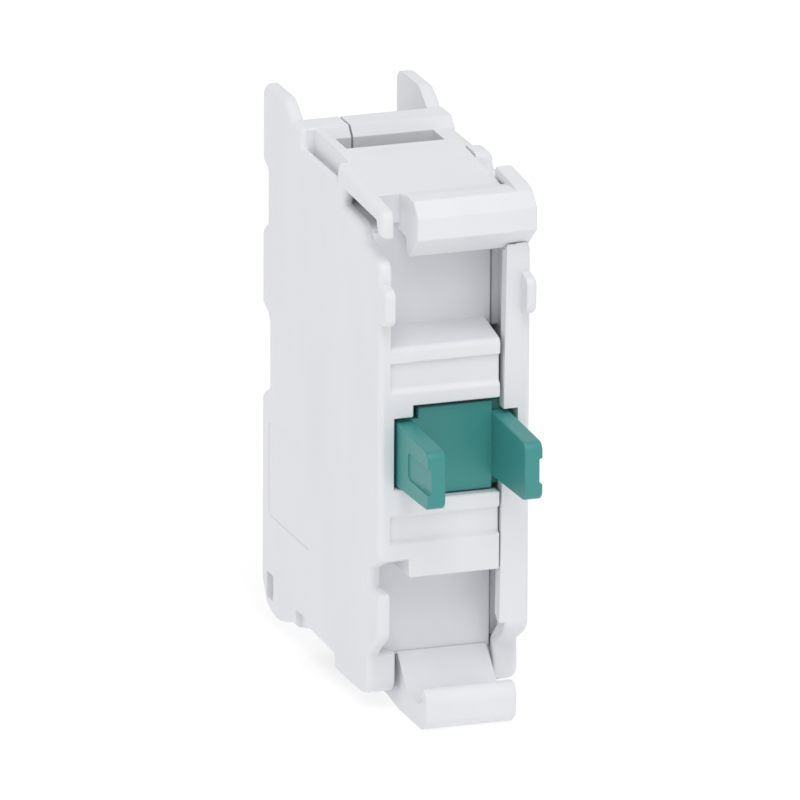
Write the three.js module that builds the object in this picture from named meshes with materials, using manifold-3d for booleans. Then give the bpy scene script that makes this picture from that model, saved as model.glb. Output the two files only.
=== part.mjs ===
// Clip-on contact block for a 22 mm push button: one normally-open contact with screw terminals.
// Axes: x to the right as seen from the front, y to the back, z up. Lengths are in millimetres.
// Outlines are drawn as [forward, up] pairs: forward is measured from the back of the block and
// up from its lowest edge. A third number rounds that corner with the given radius.

import * as THREE from 'three';
import { mergeVertices } from 'three/addons/utils/BufferGeometryUtils.js';
import Module from 'manifold-3d';

const wasm = await Module();
wasm.setup();

// ---------------------------------------------------------------- driving dimensions

const WIDTH = 9.8;              // one module of a 10 mm pitch
const REACH = 28.0;             // from the back face to the tips of the plunger's arms
const MIDDLE = WIDTH / 2;

const SKIN = 0.8;               // left side wall
const WALL = 0.9;               // other moulded walls
const INNER_LEFT = 0.7;         // left end of the pieces that meet the left side wall
const SEAM = 0.12;              // gap between the two housing halves
const COVER_INSIDE = 8.8;       // inner face of the right side wall
const FRONT = 22.3;             // front edge of the housing
const PANEL_FRONT = 19.4;       // front face of the two sunk panels
const PANEL_BACK = PANEL_FRONT - WALL;
const PANEL_RIGHT = 8.2;        // right edge of the sunk panels
const RIB_END = 7.85;           // right end of the front ribs
const FLANGE_LEFT = 7.99;       // left edge of the cover's front flange
const FLANGE_TOP = 29.95;       // its top edge, just under the hook bar
const NOSE_WIDTH = 0.68;        // width of the small nose on each front edge
const BAND_DEPTH = 0.25;        // depth of the marking bands on the ribs

const EAR_TOP = 34.85;
const BRIDGE_TOP = 33.85;
const BRIDGE_BACK = 5.6;
const BRIDGE_FRONT = 8.2;
const BRIDGE_SEAM = 3.15;       // where the two halves of the rear bridge meet
const ENTRY_FRONT = 12.05;      // front edge of the wire entries
const ENTRY_LEFT = 1.38;
const ENTRY_RIGHT = 8.33;
const PLATE_RIGHT = 8.5;        // right edge of the sloping top plate
const HOOK_LEFT = 2.1;          // left end of the hook bar
const HOOK_END_BACK = 20.15;    // back of the hook bar where it passes in front of the cover
const HOOK_END_LEFT = 8.76;     // left side of the hook bar's raised end
const RAIL_TOP = 32.85;         // top of the cover's rail behind the hook bar
const RAIL_LEFT = 8.66;

const PLUNGER_AXIS = 17.1;      // height of the plunger's centre line
const TERMINAL_RISE = 10.25;    // from the plunger's axis to each terminal screw
const DRIVER_HOLE = 2.75;       // radius of the screwdriver holes

const POST_RADIUS = 1.0;
const POST_BORE = 0.65;
const PIN_RADIUS = 0.55;
const PIN_LENGTH = 2.6;
const POSTS = [[17.2, 24.2], [17.2, 3.6], [4.0, 21.6], [4.0, 12.6]];

const ROUND_STEPS = 3;          // straight pieces in each rounded corner
const ROUND_SIDES = 24;         // sides of a large cylinder
const SMALL_SIDES = 16;         // sides of a small cylinder
const OVERSHOOT = 1;            // how far a cutter reaches past the face it opens

// ---------------------------------------------------------------- shape helpers

// A geometry as a closed solid that can be joined and cut.
function solid(geometry) {
  geometry.deleteAttribute('normal');
  geometry.deleteAttribute('uv');
  const merged = mergeVertices(geometry, 1e-4);
  const mesh = new wasm.Mesh({
    numProp: 3,
    vertProperties: Float32Array.from(merged.attributes.position.array),
    triVerts: Uint32Array.from(merged.index.array),
  });
  return new wasm.Manifold(mesh);
}

function join(first, ...others) {
  return others.reduce((whole, piece) => whole.add(piece), first);
}

function cut(body, ...tools) {
  return tools.reduce((rest, tool) => rest.subtract(tool), body);
}

// A closed [forward, up] outline with its rounded corners.
function outline(points) {
  const shape = new THREE.Shape();
  points.forEach(([forward, up, radius = 0], index) => {
    const corner = new THREE.Vector2(forward, up);
    const before = points[(index + points.length - 1) % points.length];
    const after = points[(index + 1) % points.length];
    const toBefore = new THREE.Vector2(before[0], before[1]).sub(corner);
    const toAfter = new THREE.Vector2(after[0], after[1]).sub(corner);
    const start = corner.clone().addScaledVector(toBefore.normalize(), radius);
    const end = corner.clone().addScaledVector(toAfter.normalize(), radius);
    if (index === 0) shape.moveTo(start.x, start.y);
    else shape.lineTo(start.x, start.y);
    if (radius > 0) shape.quadraticCurveTo(corner.x, corner.y, end.x, end.y);
  });
  shape.closePath();
  return shape;
}

// An outline drawn out across the block, between two distances from its left face.
function slab(points, left, right) {
  const geometry = new THREE.ExtrudeGeometry(outline(points), {
    depth: right - left,
    bevelEnabled: false,
    curveSegments: ROUND_STEPS,
  });
  const forward = new THREE.Vector3(0, -1, 0);
  const up = new THREE.Vector3(0, 0, 1);
  const across = new THREE.Vector3(-1, 0, 0);
  geometry.applyMatrix4(new THREE.Matrix4().makeBasis(forward, up, across));
  geometry.translate(right, 0, 0);
  return solid(geometry);
}

// A rectangular block between pairs of across, forward and up values.
function block([left, right], [back, front], [bottom, top]) {
  const geometry = new THREE.BoxGeometry(right - left, front - back, top - bottom);
  geometry.translate((left + right) / 2, -(back + front) / 2, (bottom + top) / 2);
  return solid(geometry);
}

// A round rod along the forward axis.
function rod(radius, [back, front], [across, up], sides = ROUND_SIDES) {
  const geometry = new THREE.CylinderGeometry(radius, radius, front - back, sides);
  geometry.translate(across, -(back + front) / 2, up);
  return solid(geometry);
}

// A round rod across the block.
function crossRod(radius, [left, right], [forward, up], sides = SMALL_SIDES) {
  const geometry = new THREE.CylinderGeometry(radius, radius, right - left, sides);
  geometry.rotateZ(Math.PI / 2);
  geometry.translate((left + right) / 2, -forward, up);
  return solid(geometry);
}

// A compression spring along the forward axis, its flat-ended coil centred on x = z = 0.
class CoilPath extends THREE.Curve {
  constructor(radius, length, turns) {
    super();
    this.radius = radius;
    this.length = length;
    this.turns = turns;
  }

  getPoint(t, target = new THREE.Vector3()) {
    const angle = 2 * Math.PI * this.turns * t;
    const x = this.radius * Math.cos(angle);
    const z = this.radius * Math.sin(angle);
    return target.set(x, -this.length * t, z);
  }
}

function coil(radius, wireRadius, length, turns) {
  const stepsPerTurn = 12;
  const wireSides = 6;
  const wire = new THREE.Shape();
  for (let side = 0; side < wireSides; side += 1) {
    const angle = (2 * Math.PI * side) / wireSides;
    const point = [wireRadius * Math.cos(angle), wireRadius * Math.sin(angle)];
    if (side === 0) wire.moveTo(...point);
    else wire.lineTo(...point);
  }
  wire.closePath();
  const geometry = new THREE.ExtrudeGeometry(wire, {
    steps: Math.round(turns * stepsPerTurn),
    extrudePath: new CoilPath(radius, length - 2 * wireRadius, turns),
    bevelEnabled: false,
  });
  geometry.translate(0, -wireRadius, 0);
  return solid(geometry);
}

// ---------------------------------------------------------------- materials

function moulded(color) {
  return new THREE.MeshStandardMaterial({ color, roughness: 0.5, metalness: 0 });
}

function metal(color, roughness) {
  return new THREE.MeshStandardMaterial({ color, roughness, metalness: 1 });
}

const greyPlastic = () => moulded(0xdcdde1);
const greenPlastic = () => moulded(0x3f9186);
const brass = () => metal(0xc9a24f, 0.35);
const silver = () => metal(0xe4e4e0, 0.3);
const zincSteel = () => metal(0xb9bcc0, 0.4);
const springSteel = () => metal(0x9a9da2, 0.3);

// ---------------------------------------------------------------- housing outlines

// Back edge with its two notches, from the top down.
const BACK_EDGE = [
  [0, 34.35], [0, 29.65], [0.95, 29.35], [0.95, 25.95], [0, 25.35],
  [0, 20.45], [1.0, 20.05], [1.35, 19.7], [1.35, 15.45], [0, 14.7], [0, 2.75],
];

// Bottom edge from the back corner to the front, with the step at the wire entry.
const BOTTOM_EDGE = [
  [0.9, 1.15, 0.2], [1.7, 0.85], [3.0, 0.65], [4.3, 0.95], [5.5, 1.35],
  [6.7, 1.35], [8.9, 1.95], [13.75, 1.8], [13.85, 0.9], [18.9, 0.9], [20.3, 1.5, 0.4],
];

// Front edge below the ribs, from the bottom up, with the snap notch.
const LOWER_FRONT_EDGE = [
  [20.3, 3.85], [20.8, 4.35], [FRONT, 5.45, 0.2], [FRONT, 8.25], [20.4, 8.25],
  [20.4, 9.45], [FRONT, 10.4],
];

// Small nose on each front edge.
const NOSE = [
  [FRONT - WALL, 25.45], [FRONT, 25.45], [23.4, 25.8, 0.3], [23.5, 27.85, 0.4], [FRONT, 28.15],
  [FRONT - WALL, 28.15],
];

const EAR = [[5.7, 33.8], [4.1, EAR_TOP, 0.3], [0.6, EAR_TOP, 0.3]];

// The strip above the slot, ending in a small hanging nub.
const STRIP = [
  [15.0, 31.15], [15.4, 32.1], [21.4, 31.87], [21.7, 31.07], [22.65, 31.07, 0.2],
  [22.65, 32.75, 0.4], [20.0, 33.05], [14.15, 33.56, 0.2],
];

const LEFT_SIDE = [
  ...BACK_EDGE, ...BOTTOM_EDGE, ...LOWER_FRONT_EDGE,
  [FRONT, 29.4, 0.6], [19.1, 29.95, 0.3], [18.45, 30.95, 0.4],
  ...STRIP, [14.15, 32.4], [7.45, 32.5], [7.45, 33.8], ...EAR,
];

const RIGHT_SIDE = [
  ...BACK_EDGE, ...BOTTOM_EDGE,
  [20.3, 3.85], [21.9, 4.85], [FRONT, 5.45],
  [FRONT, FLANGE_TOP], [21.7, 29.4], [21.2, 29.4], [20.95, 30.45], [HOOK_END_BACK - SEAM, 30.45],
  [HOOK_END_BACK - SEAM, RAIL_TOP], [15.4, RAIL_TOP],
  [15.2, 33.65, 0.3], [13.2, 33.65, 0.3], [12.9, 33.2], [7.3, 33.2], [7.2, 33.8], ...EAR,
];

// Section of the cover's rail beside the sloping plate, with its boss.
const RAIL = [
  [11.8, 31.5], [HOOK_END_BACK - SEAM, 31.5], [HOOK_END_BACK - SEAM, RAIL_TOP],
  [15.4, RAIL_TOP], [15.2, 33.65, 0.3], [13.2, 33.65, 0.3], [12.9, 33.2], [11.8, 33.2],
];

// Section of the rear bridge over the back of the wire entry.
const BRIDGE = [
  [BRIDGE_BACK, 31.0], [BRIDGE_BACK, BRIDGE_TOP, 0.2], [7.6, BRIDGE_TOP],
  [BRIDGE_FRONT, 33.2], [BRIDGE_FRONT, 31.0],
];

// Section of the sloping plate with its hanging lip.
const PLATE = [
  [ENTRY_FRONT, 33.75], [19.9, 33.06], [19.9, 31.2], [18.6, 31.2], [ENTRY_FRONT, 32.85],
];
// Section of the floor of the slot beside the plate.
const SLOT_FLOOR = [[14.2, 30.4], [19.0, 30.2], [19.0, 30.6], [14.2, 31.1]];

// Section of the hook bar across the top.
const HOOK = [
  [18.7, 30.7, 0.2], [18.7, 33.17], [20.0, 33.05], [21.1, 33.3], [22.5, 33.3, 0.2],
  [23.35, 32.4], [23.35, 31.0], [21.6, 29.5, 0.15], [21.3, 29.55], [21.1, 30.6, 0.2],
];

// Raised end of the hook bar, over the cover's rail.
const HOOK_END = [
  [18.4, RAIL_TOP + SEAM], [18.4, 33.8, 0.3], [21.7, 33.55], [22.5, 33.3],
  [22.5, RAIL_TOP + SEAM],
];

// Section of the front wall above the plunger, down to its lower edge.
function upperRib(lowerEdge) {
  return [
    [PANEL_BACK, 24.55], [PANEL_FRONT, 24.55], [FRONT, 23.95, 0.3], [FRONT, 22.95],
    [FRONT - BAND_DEPTH, 22.95], [FRONT - BAND_DEPTH, 21.3], [FRONT, 21.05],
    [FRONT, lowerEdge], [FRONT - WALL, lowerEdge], [FRONT - WALL, 23.2], [PANEL_BACK, 23.65],
  ];
}

// Section of the front wall below the plunger, from its upper edge.
function lowerRib(upperEdge) {
  return [
    [FRONT - WALL, upperEdge], [FRONT, upperEdge], [FRONT, 13.2],
    [FRONT - BAND_DEPTH, 13.2], [FRONT - BAND_DEPTH, 11.65], [FRONT, 11.5],
    [FRONT, 9.2], [PANEL_BACK, 9.2], [PANEL_BACK, 10.1], [FRONT - WALL, 10.1],
  ];
}

// ---------------------------------------------------------------- housing

const RIB_STEP = 2.25;          // the ribs' window edges step here
const WINDOW_LEFT = 1.03;
const WINDOW_TOP = [19.45, 20.2];
const WINDOW_BOTTOM = [14.95, 14.2];
const PLUNGER_SLOT = [14.75, 19.45];
const PARTITION_RISE = 5.1;     // from the plunger's axis to the walls beside the terminals

// Clear space beside the slot under the plate's left edge.
function slotClearance() {
  return block([0, ENTRY_LEFT], [15.0, 21.0], [30.5, 32.2]);
}

function backWall(right) {
  const depth = WALL;
  const outer = BACK_EDGE.slice(1);
  const inner = outer.map(([forward, up]) => [forward + depth, up]).reverse();
  const wall = slab([[0, 31.0], ...outer, ...inner, [depth, 31.0]], SKIN / 2, right);
  const floor = block([SKIN / 2, right], [WALL / 2, BRIDGE_BACK + WALL], [31.0, 31.0 + WALL]);
  return join(wall, floor);
}

function frontWall() {
  const left = SKIN / 2;
  const pieces = [
    cut(
      block([INNER_LEFT, PANEL_RIGHT], [PANEL_BACK, PANEL_FRONT], [24.0, 31.5]),
      slotClearance(),
    ),
    slab(SLOT_FLOOR, INNER_LEFT, HOOK_LEFT),
    block([left, PANEL_RIGHT], [PANEL_BACK, PANEL_FRONT], [3.45, 9.5]),
    slab(upperRib(WINDOW_TOP[0]), left, RIB_STEP),
    slab(upperRib(WINDOW_TOP[1]), RIB_STEP, RIB_END),
    slab(lowerRib(WINDOW_BOTTOM[0]), left, 2.0),
    slab(lowerRib(WINDOW_BOTTOM[1]), 2.0, RIB_END),
    block([left, WINDOW_LEFT], [FRONT - WALL, FRONT], [WINDOW_BOTTOM[0], WINDOW_TOP[0]]),
  ];
  const corner = block([-OVERSHOOT, 2.0], [PANEL_FRONT, FRONT + OVERSHOOT], [8.25, 9.45]);
  const slope = slab([[PANEL_FRONT, 9.2], [20.4, 9.45], [FRONT, 10.4], [FRONT + OVERSHOOT, 10.4],
    [FRONT + OVERSHOOT, 8.5], [PANEL_FRONT, 8.5]], -OVERSHOOT, 2.0);
  return cut(join(...pieces), corner, slope);
}

function partitions() {
  return [1, -1].map((side) => {
    const height = PLUNGER_AXIS + side * (PARTITION_RISE + WALL / 2);
    return block([SKIN / 2, 8.6], [WALL / 2, 11.6], [height - WALL / 2, height + WALL / 2]);
  });
}

function posts() {
  return POSTS.map((place) => crossRod(POST_RADIUS, [SKIN / 2, 8.6], place));
}

function postBores() {
  return POSTS.map((place) => crossRod(POST_BORE, [8.6 - PIN_LENGTH, WIDTH], place));
}

function bottomWalls() {
  return [
    slab([[0.6, 0.7], [3.15, 0.65], [4.3, 0.95], [5.65, 1.4], [7.0, 1.45], [8.4, 1.8],
      [8.4, 2.7], [5.4, 2.3], [3.0, 1.55], [0.9, 1.55]], SKIN / 2, 8.7),
    block([SKIN / 2, 8.7], [12.2, 14.4], [2.0, 2.9]),
    slab([[14.5, 0.9], [18.9, 0.9], [20.3, 1.5, 0.4], [20.3, 3.85], [PANEL_BACK, 3.85],
      [PANEL_BACK, 2.1], [14.5, 2.1]], SKIN / 2, 1.82),
  ];
}

function rearOpenings() {
  const terminals = [1, -1].map((side) => rod(
    DRIVER_HOLE, [-OVERSHOOT, WALL + 1.1 + OVERSHOOT],
    [MIDDLE, PLUNGER_AXIS + side * TERMINAL_RISE],
  ));
  const stackingSlots = [[ENTRY_LEFT - 0.4, 2.5], [7.4, 8.75]].map((across) => block(
    across, [-OVERSHOOT, WALL + 1.1 + OVERSHOOT], PLUNGER_SLOT,
  ));
  return [...terminals, ...stackingSlots];
}

function hookBar() {
  const coverClearance = block([RAIL_LEFT - SEAM, WIDTH + OVERSHOOT],
    [PANEL_BACK - OVERSHOOT, HOOK_END_BACK], [30, EAR_TOP]);
  return join(
    cut(slab(HOOK, HOOK_LEFT, WIDTH), coverClearance),
    slab(HOOK_END, HOOK_END_LEFT, WIDTH),
  );
}

function housingBase() {
  const whole = join(
    slab(LEFT_SIDE, 0, SKIN),
    slab(NOSE, 0, NOSE_WIDTH),
    backWall(COVER_INSIDE - SEAM),
    frontWall(),
    ...partitions(),
    ...posts(),
    ...bottomWalls(),
    slab(BRIDGE, SKIN / 2, BRIDGE_SEAM - SEAM),
    block([SKIN / 2, ENTRY_LEFT], [7.45, 14.2], [29.6, 32.4]),
    slab([[7.45, 32.3], [7.45, 33.8], [BRIDGE_FRONT, 33.8], [ENTRY_FRONT, 33.75],
      [14.2, 33.56], [14.2, 32.3]], SKIN, ENTRY_LEFT),
    cut(slab(PLATE, INNER_LEFT, PLATE_RIGHT), slotClearance()),
    hookBar(),
    rod(POST_RADIUS, [1.6, 3.2], [MIDDLE, PLUNGER_AXIS], SMALL_SIDES),
  );
  return cut(whole, ...rearOpenings(), ...postBores());
}

function coverFlange() {
  const notch = block([FLANGE_LEFT - OVERSHOOT, 8.98], [PANEL_FRONT, FRONT + OVERSHOOT],
    PLUNGER_SLOT);
  const right = COVER_INSIDE + SKIN / 2;
  const flange = slab([[FRONT - WALL, 6.1], [FRONT, 5.45], [FRONT, FLANGE_TOP], [21.7, 29.4],
    [FRONT - WALL, 29.4]], FLANGE_LEFT, right);
  const foot = slab([[PANEL_FRONT + SEAM, 1.8], [20.2, 1.8, 0.3], [20.2, 3.9], [21.8, 4.9],
    [22.1, 5.8], [21.6, 6.0], [PANEL_FRONT + SEAM, 4.05]], 8.25, right);
  return [join(flange, foot), notch];
}

// Walls of the cover that close the gap beside the two front panels.
function innerWebs() {
  return [[23.8, 30.4], [3.9, 9.9]].map((height) => block(
    [PANEL_RIGHT + 0.16, WIDTH - SKIN / 2], [18.3, 19.0], height,
  ));
}

function housingCover() {
  const [flange, notch] = coverFlange();
  const whole = join(
    slab(RIGHT_SIDE, COVER_INSIDE, WIDTH),
    slab(NOSE, WIDTH - NOSE_WIDTH, WIDTH),
    slab(RAIL, RAIL_LEFT, WIDTH - SKIN / 2),
    ...innerWebs(),
    slab(BRIDGE, BRIDGE_SEAM, WIDTH),
    block([ENTRY_RIGHT, COVER_INSIDE + SKIN / 2], [BRIDGE_FRONT - WALL, ENTRY_FRONT - SEAM],
      [31.0, 33.2]),
    flange,
    ...POSTS.map((place) => crossRod(PIN_RADIUS, [8.6 - PIN_LENGTH + SEAM, WIDTH - SKIN], place)),
  );
  const pocketFloor = block([BRIDGE_SEAM - OVERSHOOT, COVER_INSIDE], [0, BRIDGE_BACK + WALL + SEAM],
    [30, 31.0 + WALL + SEAM]);
  return cut(whole, notch, pocketFloor);
}

// ---------------------------------------------------------------- latch and plunger

const LATCH = [
  [14.9, 0.3], [17.7, 0.3], [19.8, 0], [24.3, 0, 0.3], [25.0, 0.6, 0.3], [25.1, 2.2, 0.4],
  [24.5, 2.75, 0.3], [23.9, 2.6, 0.2], [23.3, 1.4, 0.3], [21.5, 1.6, 0.4], [19.9, 3.3, 0.2],
  [18.75, 3.3], [18.6, 1.0, 0.3], [14.9, 1.0],
];

function snapLatch() {
  return slab(LATCH, 2.2, 8.05);
}

const ARM_ROOT = 21.8;
const ARM_INNER = 2.55;         // half of the gap between the two arms
const ARM_OUTER = 3.7;
const ARM_SIDES = [[MIDDLE - ARM_OUTER, MIDDLE - ARM_INNER], [MIDDLE + ARM_INNER, MIDDLE + ARM_OUTER]];
const RAIL_BACK = 5.8;
const RAIL_HALF_HEIGHT = 2.0;
const CHANNEL_DEPTH = 0.3;
const CHANNEL_HALF_HEIGHT = 0.85;
const CHANNEL_START = 24.5;
const STOP_HALF_HEIGHT = 2.7;
const WEB = [15.9, 16.9];       // the cross web that pushes the contact bridge back to rest
const STEM_BACK = 9.5;
const STEM_HALF = 1.5;
const SPRING_PEG = 1.1;

function plungerArm(across, outside) {
  const axis = PLUNGER_AXIS;
  const arm = slab([
    [PANEL_FRONT + 1.5, axis - 2.05], [REACH, axis - 1.85, 0.5], [REACH, axis + 1.85, 0.5],
    [PANEL_FRONT + 1.5, axis + 2.1],
  ], ...across);
  const channel = block(
    [outside - CHANNEL_DEPTH, outside + CHANNEL_DEPTH], [CHANNEL_START, REACH + OVERSHOOT],
    [axis - CHANNEL_HALF_HEIGHT, axis + CHANNEL_HALF_HEIGHT],
  );
  return cut(arm, channel);
}

function plunger() {
  const axis = PLUNGER_AXIS;
  const arms = [
    plungerArm(ARM_SIDES[0], ARM_SIDES[0][0]),
    plungerArm(ARM_SIDES[1], ARM_SIDES[1][1]),
  ];
  const rails = ARM_SIDES.map((across) => block(
    across, [RAIL_BACK, ARM_ROOT], [axis - RAIL_HALF_HEIGHT, axis + RAIL_HALF_HEIGHT],
  ));
  const stops = ARM_SIDES.map((across) => block(
    across, [20.2, 21.25], [axis - STOP_HALF_HEIGHT, axis + STOP_HALF_HEIGHT],
  ));
  const body = [
    block([MIDDLE - 2.2, MIDDLE + 2.6], [ARM_ROOT - WALL, ARM_ROOT], [14.3, 19.9]),
    block([ARM_SIDES[0][0], ARM_SIDES[1][1]], [ARM_ROOT - WALL, ARM_ROOT], [15.05, 19.2]),
    block([ARM_SIDES[0][0], ARM_SIDES[1][1]], WEB, [axis - 1.9, axis + 1.9]),
    block([MIDDLE - STEM_HALF, MIDDLE + STEM_HALF], [STEM_BACK, WEB[1]],
      [axis - STEM_HALF, axis + STEM_HALF]),
    rod(SPRING_PEG, [STEM_BACK - 2, STEM_BACK + 1], [MIDDLE, axis], SMALL_SIDES),
    rod(SPRING_PEG, [WEB[1] + 3, ARM_ROOT - WALL / 2], [MIDDLE, axis], SMALL_SIDES),
  ];
  return join(...arms, ...rails, ...stops, ...body);
}

// ---------------------------------------------------------------- contacts

const BRIDGE_PLATE = [17.0, 17.7];
const BRIDGE_HALF_LENGTH = 4.9;
const STRIP_FACE = [12.3, 13.3];
const STRIP_HALF_WIDTH = 3.0;
const TONGUE_HALF_WIDTH = 1.7;
const TIP_RISE = 3.8;           // from the plunger's axis to each pair of contact tips
const TIP_RADIUS = 1.0;
const TIP_HEIGHT = 0.6;
const RIVET_RADIUS = 0.5;
const RIVET_BORE = 0.56;
const CLOSE_FIT = 0.03;

function contactBridge() {
  const axis = PLUNGER_AXIS;
  const strip = block([MIDDLE - TONGUE_HALF_WIDTH, MIDDLE + TONGUE_HALF_WIDTH], BRIDGE_PLATE,
    [axis - BRIDGE_HALF_LENGTH, axis + BRIDGE_HALF_LENGTH]);
  const through = [BRIDGE_PLATE[0] - OVERSHOOT, BRIDGE_PLATE[1] + OVERSHOOT];
  const holes = [1, -1].map((side) => rod(
    RIVET_BORE, through, [MIDDLE, axis + side * TIP_RISE], SMALL_SIDES,
  ));
  const notches = [-1, 1].flatMap((side) => [-1, 1].map((end) => {
    const across = [MIDDLE + side * TONGUE_HALF_WIDTH - 0.4, MIDDLE + side * TONGUE_HALF_WIDTH + 0.4];
    const centre = axis + end * 1.5;
    return block(across, through, [centre - 0.4, centre + 0.4]);
  }));
  return cut(strip, ...holes, ...notches);
}

// A contact rivet centred on its own axis: a domed head, and a shank of the given length.
function contactTip(shank) {
  const profile = [
    [0, -shank], [RIVET_RADIUS, -shank], [RIVET_RADIUS, 0], [TIP_RADIUS, 0],
    [TIP_RADIUS, TIP_HEIGHT * 0.6], [TIP_RADIUS * 0.8, TIP_HEIGHT * 0.9], [0, TIP_HEIGHT],
  ].map(([radius, along]) => new THREE.Vector2(radius, along));
  return solid(new THREE.LatheGeometry(profile, SMALL_SIDES));
}

// The terminal strip of one side, drawn about the plunger's axis.
function terminalStrip(side) {
  const span = (low, high) => [low * side, high * side].sort((a, b) => a - b);
  const wide = block([-STRIP_HALF_WIDTH, STRIP_HALF_WIDTH], STRIP_FACE, span(6.8, 13.9));
  const tongue = block([-TONGUE_HALF_WIDTH, TONGUE_HALF_WIDTH], STRIP_FACE, span(2.6, 7.2));
  const through = [STRIP_FACE[0] - OVERSHOOT, STRIP_FACE[1] + OVERSHOOT];
  const screwHole = rod(SCREW_BORE, through, [0, side * TERMINAL_RISE], SMALL_SIDES);
  const rivetHole = rod(RIVET_BORE, through, [0, side * TIP_RISE], SMALL_SIDES);
  return cut(join(wide, tongue), screwHole, rivetHole);
}

// ---------------------------------------------------------------- terminal hardware

const SCREW_RADIUS = 1.7;
const SCREW_BORE = 1.85;
const SCREW_HEAD = [4.8, 6.7];
const SCREW_HEAD_RADIUS = 2.7;
const SCREW_TIP = 14.4;
const LOCK_WASHER = [6.74, 7.44];
const LOCK_WASHER_RADIUS = 2.6;
const CLAMP_PLATE = [7.48, 8.5];
const CLAMP_HALF = [3.0, 2.8];
const NUT = [13.34, 15.0];
const NUT_HALF = 2.75;

function terminalScrew() {
  const slotWidth = 0.8;
  const slotDepth = 1.1;
  const [headBack, headFront] = SCREW_HEAD;
  const body = join(
    rod(SCREW_HEAD_RADIUS, SCREW_HEAD, [0, 0]),
    rod(SCREW_RADIUS, [headFront - 0.5, SCREW_TIP], [0, 0], SMALL_SIDES),
  );
  const slots = [[SCREW_HEAD_RADIUS + OVERSHOOT, slotWidth / 2], [slotWidth / 2, 1.6]];
  const tools = slots.map(([halfAcross, halfUp]) => block(
    [-halfAcross, halfAcross], [headBack - OVERSHOOT, headBack + slotDepth], [-halfUp, halfUp],
  ));
  return cut(body, ...tools);
}

function lockWasher() {
  const through = [LOCK_WASHER[0] - OVERSHOOT, LOCK_WASHER[1] + OVERSHOOT];
  const ring = cut(rod(LOCK_WASHER_RADIUS, LOCK_WASHER, [0, 0]),
    rod(SCREW_BORE, through, [0, 0], SMALL_SIDES));
  return cut(ring, block([-0.2, 0.2], through, [0, LOCK_WASHER_RADIUS + OVERSHOOT]));
}

function clampPlate() {
  const [halfAcross, halfUp] = CLAMP_HALF;
  const [back, front] = CLAMP_PLATE;
  const plate = block([-halfAcross, halfAcross], CLAMP_PLATE, [-halfUp, halfUp]);
  const hole = rod(SCREW_BORE, [back - OVERSHOOT, front + OVERSHOOT], [0, 0], SMALL_SIDES);
  const gripGrooves = [-2.45, 2.45].map((across) => block(
    [across - 0.15, across + 0.15], [front - 0.25, front + OVERSHOOT], [-halfUp - 1, halfUp + 1],
  ));
  return cut(plate, hole, ...gripGrooves);
}

function terminalNut() {
  const hole = rod(SCREW_BORE, [NUT[0] - OVERSHOOT, NUT[1] + OVERSHOOT], [0, 0], SMALL_SIDES);
  return cut(block([-NUT_HALF, NUT_HALF], NUT, [-NUT_HALF, NUT_HALF]), hole);
}

// ---------------------------------------------------------------- assembly

const RETURN_SPRING = { radius: 1.55, wire: 0.18, from: 2.3, to: 9.4, turns: 6 };
const CONTACT_SPRING = { radius: 1.4, wire: 0.15, from: 17.8, to: 20.8, turns: 4 };

const assembly = new THREE.Group();
assembly.position.set(-MIDDLE, REACH / 2, 0);

function place(name, piece, material, across = 0, forward = 0, up = 0) {
  const mesh = piece.getMesh();
  const geometry = new THREE.BufferGeometry();
  geometry.setAttribute('position', new THREE.BufferAttribute(mesh.vertProperties, 3));
  geometry.setIndex(new THREE.BufferAttribute(mesh.triVerts, 1));
  geometry.computeVertexNormals();
  const part = new THREE.Mesh(geometry, material);
  part.name = name;
  part.position.set(across, -forward, up);
  assembly.add(part);
}

function placeSpring(name, { radius, wire, from, to, turns }) {
  place(name, coil(radius, wire, to - from, turns), springSteel(), MIDDLE, from, PLUNGER_AXIS);
}

place('housing_base', housingBase(), greyPlastic());
place('housing_cover', housingCover(), greyPlastic());
place('snap_latch', snapLatch(), greyPlastic());
place('plunger', plunger(), greenPlastic());
place('contact_bridge', contactBridge(), brass());
placeSpring('contact_spring', CONTACT_SPRING);
placeSpring('return_spring', RETURN_SPRING);

for (const [level, side] of [['upper', 1], ['lower', -1]]) {
  const tipHeight = PLUNGER_AXIS + side * TIP_RISE;
  const screwHeight = PLUNGER_AXIS + side * TERMINAL_RISE;
  place(`terminal_strip_${level}`, terminalStrip(side), brass(), MIDDLE, 0, PLUNGER_AXIS);
  const stripShank = STRIP_FACE[1] - STRIP_FACE[0];
  const fixedTip = contactTip(stripShank).rotate([0, 0, 180]);
  place(`fixed_contact_${level}`, fixedTip, silver(), MIDDLE, STRIP_FACE[1] + CLOSE_FIT, tipHeight);
  const bridgeShank = BRIDGE_PLATE[1] - BRIDGE_PLATE[0];
  place(`moving_contact_${level}`, contactTip(bridgeShank), silver(), MIDDLE,
    BRIDGE_PLATE[0] - CLOSE_FIT, tipHeight);
  place(`terminal_screw_${level}`, terminalScrew(), zincSteel(), MIDDLE, 0, screwHeight);
  place(`lock_washer_${level}`, lockWasher(), springSteel(), MIDDLE, 0, screwHeight);
  place(`clamp_plate_${level}`, clampPlate(), zincSteel(), MIDDLE, 0, screwHeight);
  place(`terminal_nut_${level}`, terminalNut(), zincSteel(), MIDDLE, 0, screwHeight);
}

export default assembly;
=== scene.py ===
"""A clip-on contact block for a 22 mm push button, in detail around its CAD frame.

Shapes are drawn in millimetres as [forward, up] outlines, forward from the back of the block and
up from its lowest edge, and run across it from its left face. A third number in a corner rounds it.
"""

import math

import bmesh
import bpy
from mathutils import Matrix, Vector

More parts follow.
